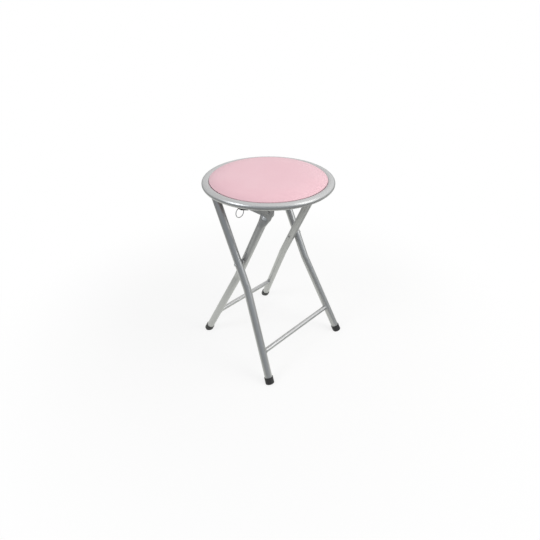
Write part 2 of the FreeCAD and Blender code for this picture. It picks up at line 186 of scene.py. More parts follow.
def silverPaint():
    spec = silverSpec
    material, net = newFinish("satinSilverPaint")
    place = net.place()
    flake = net.cells(place, spec["flakesPerMetre"])
    drift = net.cloud(place, spec["driftPerMetre"], detail=4.0)
    scuffPlace = net.stretched(place, spec["scuffStretch"])
    scuff = net.cloud(scuffPlace, spec["scuffScale"], detail=5.0, rough=spec["scuffBreakup"])
    scuffMask = net.step(scuff, *spec["scuffBand"])
    paint = net.mixed(flake * spec["flakeShare"], rgba(spec["colour"]), rgba(spec["darkFlake"]))
    driftMask = net.step(drift, *spec["driftBand"])
    paint = net.mixed(driftMask * spec["driftShare"], paint, rgba(spec["pale"]))
    roughness = spec["roughness"] + (drift - 0.5) * spec["roughDrift"]
    roughness = roughness + scuffMask * spec["roughScuff"]
    peel = net.cloud(place, spec["peelPerMetre"], detail=2.0)
    normal = net.bump(peel, *spec["peelBump"])
    normal = net.bump(flake, *spec["flakeBump"], normal)
    net.surface({
        "Base Color": paint, "Roughness": roughness, "Normal": normal, "Metallic": spec["metallic"],
        "Coat Weight": spec["coat"], "Coat Roughness": spec["coatRoughness"],
    })
    return material


vinylSpec = {
    "colour": (0.86, 0.548, 0.608),
    # painted shade: the darker pink that the grain's valleys are mixed towards
    "valleyShade": (0.785, 0.457, 0.527),
    "pale": (0.90, 0.625, 0.675),
    "grainPerMetre": 820.0,
    "wobblePerMetre": 300.0,
    "wobble": 0.0009,          # how far the grain wanders
    "valleyBand": (0.0, 0.12),
    "valleyShadeShare": 0.22,
    "valleyDepth": 0.5,
    "driftPerMetre": 11.0,
    "driftBand": (0.3, 0.75),
    "driftShare": 0.35,
    "roughness": 0.47,
    "roughValley": 0.10,
    "roughWobble": 0.08,
    "grainBump": (0.16, 0.0003),
    "coat": 0.10,
    "coatRoughness": 0.35,
    "sheen": 0.05,
}


def pinkVinyl():
    spec = vinylSpec
    material, net = newFinish("pinkVinyl")
    place = net.place()
    wobble = net.cloud(place, spec["wobblePerMetre"], detail=2.0)
    wander = net.node("ShaderNodeTexNoise",
                      sockets={"Vector": place, "Scale": spec["wobblePerMetre"]}, out=1)
    bent = net.node("ShaderNodeVectorMath", {"operation": "MULTIPLY_ADD"},
                    {0: wander, 1: (spec["wobble"],) * 3, 2: place})
    pebble = net.cells(bent, spec["grainPerMetre"], "SMOOTH_F1")
    crease = net.cells(bent, spec["grainPerMetre"], "DISTANCE_TO_EDGE")
    valley = 1.0 - net.step(crease, *spec["valleyBand"])
    drift = net.cloud(place, spec["driftPerMetre"], detail=4.0)
    driftMask = net.step(drift, *spec["driftBand"])
    colour = net.mixed(driftMask * spec["driftShare"], rgba(spec["colour"]), rgba(spec["pale"]))
    # painted shade: the grain's valleys are mixed towards a darker pink, as though shade lay in
    # them
    colour = net.mixed(valley * spec["valleyShadeShare"], colour, rgba(spec["valleyShade"]))
    roughness = spec["roughness"] + valley * spec["roughValley"]
    roughness = roughness + (wobble - 0.5) * spec["roughWobble"]
    grain = net.bump(pebble * -1.0 - valley * spec["valleyDepth"], *spec["grainBump"])
    net.surface({
        "Base Color": colour, "Roughness": roughness, "Normal": grain, "Coat Weight": spec["coat"],
        "Coat Roughness": spec["coatRoughness"], "Sheen Weight": spec["sheen"],
    })
    return material


capSpec = {
    "colour": (0.032, 0.032, 0.033),
    "dust": (0.105, 0.102, 0.098),
    "dustHeights": (0.0005, 0.009),  # floor dust thins out between these
    "smearPerMetre": 90.0,
    "smearBreakup": 0.6,
    "smearBand": (0.35, 0.7),
    "dustShare": 0.55,
    "speckPerMetre": 520.0,
    "speckBump": (0.15, 0.0003),
    "roughness": 0.52,
    "roughDust": 0.25,
    "roughSpeck": 0.12,
    "specular": 0.45,
}


def blackCap():
    spec = capSpec
    material, net = newFinish("blackMouldedCap")
    place = net.place()
    height = net.axis(place, 2)
    speck = net.cloud(place, spec["speckPerMetre"])
    smear = net.cloud(place, spec["smearPerMetre"], detail=4.0, rough=spec["smearBreakup"])
    low = 1.0 - net.step(height, *spec["dustHeights"])
    dust = low * net.step(smear, *spec["smearBand"])
    colour = net.mixed(dust * spec["dustShare"], rgba(spec["colour"]), rgba(spec["dust"]))
    roughness = spec["roughness"] + dust * spec["roughDust"] + (speck - 0.5) * spec["roughSpeck"]
    net.surface({
        "Base Color": colour, "Roughness": roughness, "Normal": net.bump(speck, *spec["speckBump"]),
        "Specular IOR Level": spec["specular"],
    })
    return material


zincSpec = {
    "colour": (0.58, 0.575, 0.545),
    "blue": (0.52, 0.535, 0.555),
    "spangle": (0.48, 0.48, 0.48),
    "spanglesPerMetre": 700.0,
    "spangleShare": 0.25,
    "driftPerMetre": 120.0,
    "driftBand": (0.35, 0.7),
    "metallic": 0.72,
    "roughness": 0.40,
    "roughDrift": 0.16,
    "pitsPerMetre": 900.0,
    "pitBump": (0.10, 0.0002),
}


def brightZinc():
    spec = zincSpec
    material, net = newFinish("brightZinc")
    place = net.place()
    spangle = net.cells(place, spec["spanglesPerMetre"])
    drift = net.cloud(place, spec["driftPerMetre"])
    driftMask = net.step(drift, *spec["driftBand"])
    colour = net.mixed(driftMask, rgba(spec["colour"]), rgba(spec["blue"]))
    colour = net.mixed(spangle * spec["spangleShare"], colour, rgba(spec["spangle"]))
    pits = net.cloud(place, spec["pitsPerMetre"], detail=2.0)
    net.surface({
        "Base Color": colour, "Roughness": spec["roughness"] + drift * spec["roughDrift"],
        "Metallic": spec["metallic"], "Normal": net.bump(pits, *spec["pitBump"]),
    })
    return material


catchSpec = {
    "colour": (0.030, 0.030, 0.033),
    "rubbed": (0.20, 0.20, 0.20),
    "rubStretch": (60.0, 400.0, 400.0),  # rubbed along the slide
    "rubScale": 2.0,
    "rubBand": (0.60, 0.78),
    "rubShare": 0.45,
    "metallic": 0.55,
    "roughness": 0.42,
    "roughRub": 0.10,
    "roughDrift": 0.1,
    "pitsPerMetre": 420.0,
    "pitBump": (0.14, 0.0003),
}


def blackCatch():
    spec = catchSpec
    material, net = newFinish("blackenedSteel")
    place = net.place()
    along = net.cloud(net.stretched(place, spec["rubStretch"]), spec["rubScale"], detail=4.0)
    rub = net.step(along, *spec["rubBand"])
    colour = net.mixed(rub * spec["rubShare"], rgba(spec["colour"]), rgba(spec["rubbed"]))
    roughness = spec["roughness"] - rub * spec["roughRub"] + (along - 0.5) * spec["roughDrift"]
    pits = net.cloud(place, spec["pitsPerMetre"])
    net.surface({
        "Base Color": colour, "Roughness": roughness, "Metallic": spec["metallic"],
        "Normal": net.bump(pits, *spec["pitBump"]),
    })
    return material


wireSpec = {
    "colour": (0.46, 0.46, 0.47),
    "dark": (0.34, 0.34, 0.35),
    "drawnPerMetre": 2200.0,
    "drawnStretch": (1.0, 0.15, 0.15),
    "darkBand": (0.45, 0.75),
    "darkShare": 0.5,
    "metallic": 1.0,
    "roughness": 0.22,
    "roughLine": 0.15,
    "lineBump": (0.06, 0.0001),
}


def drawnWire():
    spec = wireSpec
    material, net = newFinish("drawnWire")
    place = net.stretched(net.place(), spec["drawnStretch"])
    line = net.cloud(place, spec["drawnPerMetre"], detail=2.0)
    darkMask = net.step(line, *spec["darkBand"])
    colour = net.mixed(darkMask * spec["darkShare"], rgba(spec["colour"]), rgba(spec["dark"]))
    net.surface({
        "Base Color": colour, "Roughness": spec["roughness"] + line * spec["roughLine"],
        "Metallic": spec["metallic"], "Normal": net.bump(line, *spec["lineBump"]),
    })
    return material


plySpec = {
    "pale": (0.56, 0.40, 0.24),
    "dark": (0.34, 0.21, 0.11),
    "pore": (0.22, 0.13, 0.07),
    "figureStretch": (5.0, 60.0, 60.0),  # grain along X
    "figureScale": 1.6,
    "figureBreakup": 0.6,
    "figureShare": 0.35,
    "ringStretch": (2.0, 22.0, 22.0),
    "ringScale": 1.4,
    "ringBend": 9.0,
    "ringDetail": (3.0, 1.2),  # detail and its scale
    "ringShare": 0.45,
    "fibreStretch": (24.0, 900.0, 900.0),
    "fibreBump": (0.25, 0.0004),
    "poreBand": (0.62, 0.72),
    "poreShare": 0.5,
    "pliesPerMetre": 700.0,
    "plyBand": (0.45, 0.55),
    "plyShare": 0.18,
    "roughness": 0.68,
    "roughFigure": 0.12,
}


def rawPly():
    spec = plySpec
    material, net = newFinish("rawPlywood")
    place = net.place()
    figurePlace = net.stretched(place, spec["figureStretch"])
    figure = net.cloud(figurePlace, spec["figureScale"], detail=6.0, rough=spec["figureBreakup"])
    detail, detailScale = spec["ringDetail"]
    rings = net.node("ShaderNodeTexWave", {"wave_type": "BANDS", "bands_direction": "Y"}, {
        "Vector": net.stretched(place, spec["ringStretch"]), "Scale": spec["ringScale"],
        "Distortion": spec["ringBend"], "Detail": detail, "Detail Scale": detailScale})
    fibre = net.cloud(net.stretched(place, spec["fibreStretch"]), 1.0)
    pore = net.step(fibre, *spec["poreBand"])
    ply = net.axis(place, 2) * spec["pliesPerMetre"]
    layer = net.node("ShaderNodeMath", {"operation": "PINGPONG"}, {0: ply, 1: 1.0})
    layer = net.step(layer, *spec["plyBand"])
    grain = rings * spec["ringShare"] + figure * spec["figureShare"]
    colour = net.mixed(grain, rgba(spec["pale"]), rgba(spec["dark"]))
    colour = net.mixed(layer * spec["plyShare"], colour, rgba(spec["dark"]))
    colour = net.mixed(pore * spec["poreShare"], colour, rgba(spec["pore"]))
    net.surface({
        "Base Color": colour, "Roughness": spec["roughness"] + figure * spec["roughFigure"],
        "Normal": net.bump(fibre, *spec["fibreBump"]),
    })
    return material


finishes = {
    "silver": silverPaint(),
    "vinyl": pinkVinyl(),
    "cap": blackCap(),
    "zinc": brightZinc(),
    "catch": blackCatch(),
    "wire": drawnWire(),
    "ply": rawPly(),
}
nodeFinish = {  # by the start of the node's name
    "silver": ("seat_ring", "seat_rail", "outer_leg", "inner_leg", "outer_crossbar",
               "inner_crossbar", "rest_bar"),
    "cap": ("outer_foot", "inner_foot"),
    "zinc": ("pivot_rivet", "pivot_spacer", "seat_rivet", "catch_guides", "catch_spring",
             "board_screws"),
    "catch": ("catch_plate",),
    "wire": ("pull_ring",),
    "ply": ("seat_board",),
    "vinyl": ("seat_cover", "seat_foam"),
}
for finish, starts in nodeFinish.items():
    for name, obj in nodes.items():
        if name.startswith(starts):
            obj.data.materials.clear()
            obj.data.materials.append(finishes[finish])
print("finishes set on", len(nodes), "nodes")


def newPiece(name, points, faces, finish):
    mesh = bpy.data.meshes.new(name)
    mesh.from_pydata([tuple(p) for p in points], [], faces)
    mesh.materials.append(finishes[finish])
    obj = bpy.data.objects.new(name, mesh)
    scene.collection.objects.link(obj)
    return obj


mergeDistance = 0.00002


def cleaned(obj):  # merged, faces outwards, smooth
    work = bmesh.new()
    work.from_mesh(obj.data)
    bmesh.ops.remove_doubles(work, verts=work.verts, dist=mergeDistance)
    bmesh.ops.recalc_face_normals(work, faces=work.faces)
    work.to_mesh(obj.data)
    work.free()
    obj.data.shade_smooth()
    return obj


def evaluatedMesh(obj):
    graph = bpy.context.evaluated_depsgraph_get()
    return bpy.data.meshes.new_from_object(obj.evaluated_get(graph))


def applied(obj):  # the evaluated mesh takes the place of the modifiers
    mesh = evaluatedMesh(obj)
    obj.modifiers.clear()
    obj.data = mesh
    return obj


def spun(profile, count):  # a profile of (radius, height) turned about Z
    points = []
    faces = []
    rows = len(profile)
    for turn in range(count):
        angle = 2 * math.pi * turn / count
        points += [(r * math.cos(angle), r * math.sin(angle), z) for r, z in profile]
    for turn in range(count):
        a = turn * rows
        b = (turn + 1) % count * rows
        faces += [(a + k, b + k, b + k + 1, a + k + 1) for k in range(rows - 1)]
    return points, faces


# the seat pad is tight vinyl over foam: cloth pressure swells it, and the ring holds its edge down
padSpec = {
    "clear": 0.0001,       # between the pad and the board
    "edgeDrop": 0.0128,    # pad's edge, below its crown
    "edgeIn": 0.0005,      # in from the CAD cover's sharp edge
    "dome": 9.0,           # how long the middle stays flat before the pad falls to its edge
    "fold": 0.0007,        # radius of the vinyl's fold at the edge
    "foldTurn": (40.0, 136.0),
    "foldSteps": 8,
    "rings": 44,
    "crowding": 1.4,       # brings the rings closer together near the edge
    "turns": 220,
    "start": 0.0012,       # the foam starts this much smaller, then swells
    "foamTurns": 96,
    "voxel": 0.0042,
    "settle": 4,
    "pressure": 4.0,
    "stiffness": 40.0,
    "quality": 6,
    "frames": 20,
    "cap": 0.0013,         # the most that a point may move
    "probe": 0.05,         # height from which the foam is felt for
    "calmFrom": 0.78,      # the swelling dies out between these shares of the radius
    "calmTo": 0.97,
    "pull": 0.00010,       # depth of the pull lines near the edge
    "pullWidth": 0.030,
    "pullRise": 0.75,      # share of that width in which they deepen
    "pullsAround": 9.0,
    "pullEnd": 0.96,       # and where they end, as shares of the radius
    "pullFade": 0.03,
    "seed": 4.0,
}


def smoothed(value):
    value = max(0.0, min(1.0, value))
    return value * value * (3 - 2 * value)


def padProfile(inset):  # along the board, up the side, round the fold and over the dome
    spec = padSpec
    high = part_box("seat_cover")[1]
    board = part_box("seat_board")[1]
    low = board.z + spec["clear"]
    fold = spec["fold"]
    reach = high.x - inset
    foldR = reach - spec["edgeIn"] - fold

    def domeZ(r):
        return high.z - inset - spec["edgeDrop"] * (r / reach) ** spec["dome"]

    first, last = (math.radians(turn) for turn in spec["foldTurn"])
    domeR = foldR + fold * math.sin(first)
    foldZ = domeZ(domeR) - fold * math.cos(first)
    profile = [(0.0, low), (reach * 0.5, low), (board.x - inset, low)]
    for k in range(spec["foldSteps"]):
        turn = last + (first - last) * k / spec["foldSteps"]
        profile.append((foldR + fold * math.sin(turn), foldZ + fold * math.cos(turn)))
    for k in range(spec["rings"] + 1):
        r = domeR * (1 - (k / spec["rings"]) ** spec["crowding"])
        profile.append((r, domeZ(r)))
    return profile


def swollen(obj):
    spec = padSpec
    remesh = obj.modifiers.new("voxels", "REMESH")
    remesh.mode = "VOXEL"
    remesh.voxel_size = spec["voxel"]
    smooth = obj.modifiers.new("settle", "SMOOTH")
    smooth.factor = 0.5
    smooth.iterations = spec["settle"]
    applied(obj)
    before = [v.co.copy() for v in obj.data.vertices]
    cloth = obj.modifiers.new("cloth", "CLOTH")
    cloth.settings.use_pressure = True
    cloth.settings.uniform_pressure_force = spec["pressure"]
    cloth.settings.effector_weights.gravity = 0.0
    cloth.settings.tension_stiffness = spec["stiffness"]
    cloth.settings.compression_stiffness = spec["stiffness"]
    cloth.settings.quality = spec["quality"]
    cloth.point_cache.frame_start = 1
    cloth.point_cache.frame_end = spec["frames"]
    for step in range(1, spec["frames"] + 1):
        scene.frame_set(step)
    applied(obj)
    scene.frame_set(1)
    for vertex, old in zip(obj.data.vertices, before):
        move = vertex.co - old
        if move.length > spec["cap"]:
            move *= spec["cap"] / move.length
        vertex.co = old + move
    return obj


def foamShape():  # the swollen foam, to be felt for from above
    spec = padSpec
    points, faces = spun(padProfile(spec["start"]), spec["foamTurns"])
    foam = swollen(cleaned(newPiece("padFoam", points, faces, "vinyl")))
    corners = [vertex.co.copy() for vertex in foam.data.vertices]
    shape = BVHTree.FromPolygons(corners, [tuple(face.vertices) for face in foam.data.polygons])
    bpy.data.objects.remove(foam)
    return shape


def seatPad():
    spec = padSpec
    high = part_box("seat_cover")[1]
    edgeZ = high.z - spec["edgeDrop"]
    shape = foamShape()
    points, faces = spun(padProfile(0.0), spec["turns"])
    pad = cleaned(newPiece("seatPad", points, faces, "vinyl"))
    spots = pad.data.vertices
    lifts = {}
    above = Vector((0.0, 0.0, spec["probe"]))
    for vertex in spots:  # how the foam lies under the vinyl
        if vertex.co.z > edgeZ:
            hit = shape.ray_cast(vertex.co + above, Vector((0.0, 0.0, -1.0)))[0]
            if hit:
                lifts[vertex.index] = hit.z - vertex.co.z
    middle = lifts[min(lifts, key=lambda index: spots[index].co.xy.length)]
    calmWidth = spec["calmTo"] - spec["calmFrom"]
    pullWidth = spec["pullWidth"]
    around = spec["pullsAround"]
    for index, lift in lifts.items():
        place = spots[index].co
        share = place.xy.length / high.x
        calm = 1 - smoothed((share - spec["calmFrom"]) / calmWidth)
        turn = math.atan2(place.y, place.x)
        pull = noise.noise(Vector((math.cos(turn) * around, math.sin(turn) * around, spec["seed"])))
        near = smoothed((share * high.x - high.x + pullWidth) / (pullWidth * spec["pullRise"]))
        fade = 1 - smoothed((share - spec["pullEnd"]) / spec["pullFade"])
        place.z += max(-spec["cap"], min(spec["cap"], lift - middle)) * calm
        place.z += spec["pull"] * near * pull * fade
    tall = (high.z - edgeZ) / (max(vertex.co.z for vertex in spots) - edgeZ)
    for index in lifts:  # the crown stays at the CAD cover's height
        spots[index].co.z = edgeZ + (spots[index].co.z - edgeZ) * tall
    cleaned(pad)
    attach(pad, "seat")
    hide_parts("seat_cover", "seat_foam")
    return pad


pad = seatPad()
print("seat pad:", len(pad.data.polygons), "faces")


# the vinyl wraps the board's edge and is gathered and stapled below
hemSpec = {
    "width": 0.0175,
    "uneven": 0.0020,
    "thickness": 0.0006,
    "wrap": 0.0009,        # vinyl's outside, out from the board's edge
    "clear": 0.00005,      # above the CAD cover's underside
    "corner": ((0.0, 0.003), (0.0004, 0.0012), (0.0014, 0.0002)),  # in and up from its corner
    "flatFrom": 0.003,
    "pleats": 46,
    "pleatDepth": 0.00034,
    "pleatDrift": 0.05,
    "rows": 9,
    "turns": 460,
    "noiseAround": 5.0,    # radius of the loop through the noise
    "edgeNoise": 3.0,      # times finer, along the cut edge
    "seed": 11.0,
}


def seatHem():
    spec = hemSpec
    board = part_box("seat_board")[1]
    outerR = board.x + spec["wrap"]
    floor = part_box("seat_cover")[0].z + spec["clear"]
    flatR = outerR - spec["flatFrom"]
    loop = spec["noiseAround"]
    points = []
    for turn in range(spec["turns"]):
        angle = 2 * math.pi * turn / spec["turns"]
        around = Vector((math.cos(angle) * loop, math.sin(angle) * loop, spec["seed"]))
        uneven = spec["uneven"] * noise.noise(around * spec["edgeNoise"])
        inner = board.x - spec["width"] + uneven
        phase = spec["pleats"] * (angle + spec["pleatDrift"] * noise.noise(around))
        fold = 0.5 + 0.5 * math.cos(phase)
        line = [(outerR, board.z)]
        line += [(outerR - inward, floor + up) for inward, up in spec["corner"]]
        for k in range(spec["rows"] + 1):
            share = k / spec["rows"]
            r = flatR + (inner - outerR + spec["flatFrom"]) * share
            line.append((r, floor + spec["pleatDepth"] * share * fold ** 2))
        points += [(r * math.cos(angle), r * math.sin(angle), z) for r, z in line]
    faces = []
    rows = len(line)
    for turn in range(spec["turns"]):
        a = turn * rows
        b = (turn + 1) % spec["turns"] * rows
        faces += [(a + k, a + k + 1, b + k + 1, b + k) for k in range(rows - 1)]
    hem = cleaned(newPiece("seatHem", points, faces, "vinyl"))
    if sum(face.normal.xy.dot(face.center.xy) for face in hem.data.polygons) < 0:
        hem.data.flip_normals()  # an open sheet has no outside of its own
    wall = hem.modifiers.new("wall", "SOLIDIFY")
    wall.thickness = spec["thickness"]
    wall.offset = -1.0
    applied(hem)
    hem.data.shade_smooth()
    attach(hem, "seat")
    return hem


hem = seatHem()
print("seat hem:", len(hem.data.polygons), "faces")


class Tree:  # a geometry node tree with named inputs
    def __init__(self, name, inputs):
        self.group = bpy.data.node_groups.new(name, "GeometryNodeTree")
        face = self.group.interface
        face.new_socket("Geometry", in_out="INPUT", socket_type="NodeSocketGeometry")
        self.ids = {}
        for label, kind in inputs.items():
            made = face.new_socket(label, in_out="INPUT", socket_type="NodeSocket" + kind)
            self.ids[label] = made.identifier
        face.new_socket("Geometry", in_out="OUTPUT", socket_type="NodeSocketGeometry")
        self.start = self.group.nodes.new("NodeGroupInput")

    def wire(self, label):
        return self.start.outputs[label]

    def node(self, kind, settings=None, sockets=None, out=0):
        made = self.group.nodes.new(kind)
        for key, value in (settings or {}).items():
            setattr(made, key, value)
        for key, value in (sockets or {}).items():
            if isinstance(value, bpy.types.NodeSocket):
                self.group.links.new(value, made.inputs[key])
            else:
                made.inputs[key].default_value = value
        return made.outputs[out]

    def maths(self, operation, a, b=0.5):  # some operations read a alone
        return self.node("ShaderNodeMath", {"operation": operation}, {0: a, 1: b})

    def vector(self, sockets):
        return self.node("ShaderNodeCombineXYZ", sockets=sockets)

    def disc(self, sides, radius):  # outline of a round wire
        return self.node("GeometryNodeCurvePrimitiveCircle", {"mode": "RADIUS"},
                         {"Resolution": sides, "Radius": radius})

    def finish(self, geometry):
        real = self.node("GeometryNodeRealizeInstances", sockets={"Geometry": geometry})
        painted = self.node("GeometryNodeSetMaterial",
                            sockets={"Geometry": real, "Material": self.wire("Finish")})
        end = self.group.nodes.new("NodeGroupOutput")
        self.group.links.new(painted, end.inputs[0])

    def run(self, name, data, values):
        obj = bpy.data.objects.new(name + "Source", data)
        scene.collection.objects.link(obj)
        modifier = obj.modifiers.new(name, "NODES")
        modifier.node_group = self.group
        for label, value in values.items():
            modifier[self.ids[label]] = value
        mesh = evaluatedMesh(obj)
        bpy.data.objects.remove(obj)
        piece = bpy.data.objects.new(name, mesh)
        scene.collection.objects.link(piece)
        return piece


stapleSpec = {
    "count": 44,
    "radius": 0.1205,
    "length": 0.0095,
    "wire": 0.0011,
    "flat": 0.00055,
    "proud": 0.3,          # how far its middle is below the hem, as a share of its thickness
    "skipFrom": 0.047,     # rails lie against the hem between these
    "skipTo": 0.084,
    "tilt": 0.12,
    "seed": 7,
}


def stapleTree():
    tree = Tree("hemStaples", {
        "Count": "Int", "Radius": "Float", "Height": "Float", "Length": "Float", "Wire": "Float",
        "Flat": "Float", "Skip From": "Float", "Skip To": "Float", "Tilt": "Float", "Seed": "Int",
        "Finish": "Material"})
    circle = tree.node("GeometryNodeMeshCircle", {"fill_type": "NONE"},
                       {"Vertices": tree.wire("Count"), "Radius": tree.wire("Radius")})
    lift = tree.vector({"Z": tree.wire("Height")})
    circle = tree.node("GeometryNodeSetPosition", sockets={"Geometry": circle, "Offset": lift})
    spot = tree.node("GeometryNodeInputPosition")
    x, y = (tree.node("ShaderNodeSeparateXYZ", sockets={0: spot}, out=k) for k in (0, 1))
    side = tree.maths("ABSOLUTE", y)
    above = tree.maths("GREATER_THAN", side, tree.wire("Skip From"))
    below = tree.maths("LESS_THAN", side, tree.wire("Skip To"))
    kept = tree.node("GeometryNodeDeleteGeometry", {"domain": "POINT"},
                     {"Geometry": circle, "Selection": tree.maths("MULTIPLY", above, below)})
    lowest = tree.maths("MULTIPLY", tree.wire("Tilt"), -1.0)
    tilt = tree.node("FunctionNodeRandomValue", {"data_type": "FLOAT"},
                     {2: lowest, 3: tree.wire("Tilt"), "Seed": tree.wire("Seed")}, out=1)
    spin = tree.vector({"Z": tree.maths("ADD", tree.maths("ARCTAN2", y, x), tilt)})
    size = tree.vector({"X": tree.wire("Wire"), "Y": tree.wire("Length"), "Z": tree.wire("Flat")})
    bar = tree.node("GeometryNodeMeshCube",
                    sockets={"Size": size, "Vertices X": 2, "Vertices Y": 4, "Vertices Z": 2})
    spread = tree.node("GeometryNodeInstanceOnPoints",
                       sockets={"Points": kept, "Instance": bar, "Rotation": spin})
    tree.finish(spread)
    return tree


def hemStaples():
    spec = stapleSpec
    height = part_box("seat_cover")[0].z - spec["flat"] * spec["proud"]
    values = {"Count": spec["count"], "Radius": spec["radius"], "Height": height,
              "Length": spec["length"], "Wire": spec["wire"], "Flat": spec["flat"],
              "Skip From": spec["skipFrom"], "Skip To": spec["skipTo"], "Tilt": spec["tilt"],
              "Seed": spec["seed"], "Finish": finishes["zinc"]}
    staples = stapleTree().run("hemStaples", bpy.data.meshes.new("hemStaplePoints"), values)
    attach(staples, "seat")
    return staples


staples = hemStaples()
print("staples:", len(staples.data.polygons), "faces")


# cross-head screws hold the board down on the rails
sides = (-1, 1)
screwSpec = {
    "headRadius": 0.00425,
    "headHeight": 0.0024,
    "headShape": ((0.97, 0.0), (1.0, 0.12), (0.985, 0.32), (0.90, 0.60), (0.74, 0.80),
                  (0.52, 0.93), (0.26, 0.99), (0.0, 1.0)),  # shares of the two
    "shankRadius": 0.0020,
    "shankLength": 0.0080,
    "turns": 40,
    "crossLength": 0.0046,
    "crossWidth": 0.00095,
    "crossDepth": 0.0013,
    "crossNarrow": 0.62,   # each arm narrows downwards
    "sharpFrom": 40.0,
    "seed": 3,
}


def screwShape():
    spec = screwSpec
    r = spec["headRadius"]
    h = spec["headHeight"]
    shank = spec["shankRadius"]
    tip = -spec["shankLength"]
    profile = [(0.0, tip), (shank, tip), (shank, 0.0)]
    profile += [(r * out, h * up) for out, up in spec["headShape"]]
    points, faces = spun(profile, spec["turns"])
    screw = cleaned(newPiece("screwShape", points, faces, "zinc"))
    cross = bmesh.new()
    arm = (spec["crossLength"], spec["crossWidth"])
    for x, y in (arm, arm[::-1]):
        for vertex in bmesh.ops.create_cube(cross, size=1.0)["verts"]:
            narrow = spec["crossNarrow"] if vertex.co.z < 0 else 1.0
            vertex.co = (vertex.co.x * x * narrow, vertex.co.y * y * narrow,
                         h + vertex.co.z * 2 * spec["crossDepth"])
    mesh = bpy.data.meshes.new("screwCross")
    cross.to_mesh(mesh)
    cross.free()
    tool = bpy.data.objects.new("screwCross", mesh)
    scene.collection.objects.link(tool)
    cut = screw.modifiers.new("cross", "BOOLEAN")
    cut.operation = "DIFFERENCE"
    cut.solver = "EXACT"
    cut.use_self = True
    cut.object = tool
    applied(screw)
    bpy.data.objects.remove(tool)
    return screw


def screwTree():
    tree = Tree("crossScrews", {"Screw": "Object", "Seed": "Int", "Finish": "Material"})
    shape = tree.node("GeometryNodeObjectInfo", sockets={"Object": tree.wire("Screw")}, out=4)
    turn = tree.node("FunctionNodeRandomValue", {"data_type": "FLOAT"},
                     {2: 0.0, 3: math.pi / 2, "Seed": tree.wire("Seed")}, out=1)
    spin = tree.vector({"X": math.pi, "Z": turn})  # heads down
    placed = tree.node("GeometryNodeInstanceOnPoints", sockets={
        "Points": tree.wire("Geometry"), "Instance": shape, "Rotation": spin})
    tree.finish(placed)
    return tree


def crossScrews():
    spec = screwSpec
    low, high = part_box("board_screws")
    x = high.x - spec["headRadius"]
    y = high.y - spec["headRadius"]
    spots = bpy.data.meshes.new("screwSpots")
    z = low.z + spec["headHeight"]
    spots.from_pydata([(a * x, b * y, z) for a in sides for b in sides], [], [])
    shape = screwShape()
    values = {"Screw": shape, "Seed": spec["seed"], "Finish": finishes["zinc"]}
    screws = screwTree().run("crossScrews", spots, values)
    bpy.data.objects.remove(shape)
    screws.data.shade_smooth()
    screws.data.set_sharp_from_angle(angle=math.radians(spec["sharpFrom"]))
    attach(screws, "seat")
    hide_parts("board_screws")
    return screws


screws = crossScrews()
print("screws:", len(screws.data.polygons), "faces")


# weld beads where the bars meet the legs and the rails meet the ring
legSpec = {
    "pivot": (0.0028, 0.2755),  # x and z
    "tube": 0.0095,        # radius
    "bar": 0.0060,
    "taper": 0.022,        # a leg goes out this much for each metre down to the bend
    "bendHeight": 0.216,
    "splay": 0.0322,       # and this much in all from there to the floor
    "outer": {"half": 0.10345, "lean": 0.1360 / 0.2755},  # half the pair's width at the pivot
    "inner": {"half": 0.0808, "lean": -0.1326 / 0.2755},
    "probe": 0.02,         # a leg's direction is taken this far either way
}
weldSpec = {
    "radius": 0.0015,
    "sunk": 0.25,          # share of the radius between the bead's middle and the tubes
    "pitch": 0.0013,
    "stepsPerPitch": 4.0,
    "ripple": 0.16,
    "sides": 10,
    "points": 48,
    "railDrop": 0.0002,    # below a rail's top
    "railLine": ((0.0, 0.011), (0.0, 0.004), (0.0006, 0.0006), (0.004, 0.0), (0.010, 0.0)),
}


def legPoint(side, pair, z):
    spec = legSpec
    half = spec[pair]["half"]
    pivotX, pivotZ = spec["pivot"]
    if z >= spec["bendHeight"]:
        y = half + spec["taper"] * (pivotZ - z)
    else:
        y = half + spec["taper"] * (pivotZ - spec["bendHeight"])
        y += spec["splay"] * (spec["bendHeight"] - z) / spec["bendHeight"]
    return Vector((pivotX + spec[pair]["lean"] * (pivotZ - z), side * y, z))


def saddle(side, pair, z):  # closed line where a bar meets a leg
    base = legPoint(side, pair, z)
    probe = legSpec["probe"]
    along = (legPoint(side, pair, z + probe) - legPoint(side, pair, z - probe)).normalized()
    sunk = weldSpec["radius"] * weldSpec["sunk"]
    reach = legSpec["bar"] + sunk
    wall = legSpec["tube"] + sunk
    way = Vector((0.0, side, 0.0))
    line = []
    for k in range(weldSpec["points"]):
        angle = 2 * math.pi * k / weldSpec["points"]
        start = Vector((base.x + reach * math.cos(angle), 0.0, base.z + reach * math.sin(angle)))
        offset = start - base
        crossA = way - along * way.dot(along)
        crossB = offset - along * offset.dot(along)
        a = crossA.length_squared
        b = 2 * crossA.dot(crossB)
        c = crossB.length_squared - wall ** 2
        t = (-b - math.sqrt(max(b * b - 4 * a * c, 0.0))) / (2 * a)
        line.append(start + way * t)
    return line, True


def railWeld(sideX, sideY):  # open line round a rail's corner, below the ring
    low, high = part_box("seat_rail_far" if sideY > 0 else "seat_rail_near")
    endX = high.x if sideX > 0 else -low.x
    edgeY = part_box("seat_rail_far")[1].y  # the near rail's box takes in its ear
    z = high.z - weldSpec["railDrop"]
    corner = [(endX - x, edgeY - y) for x, y in weldSpec["railLine"]]
    return [Vector((sideX * x, sideY * y, z)) for x, y in corner], False


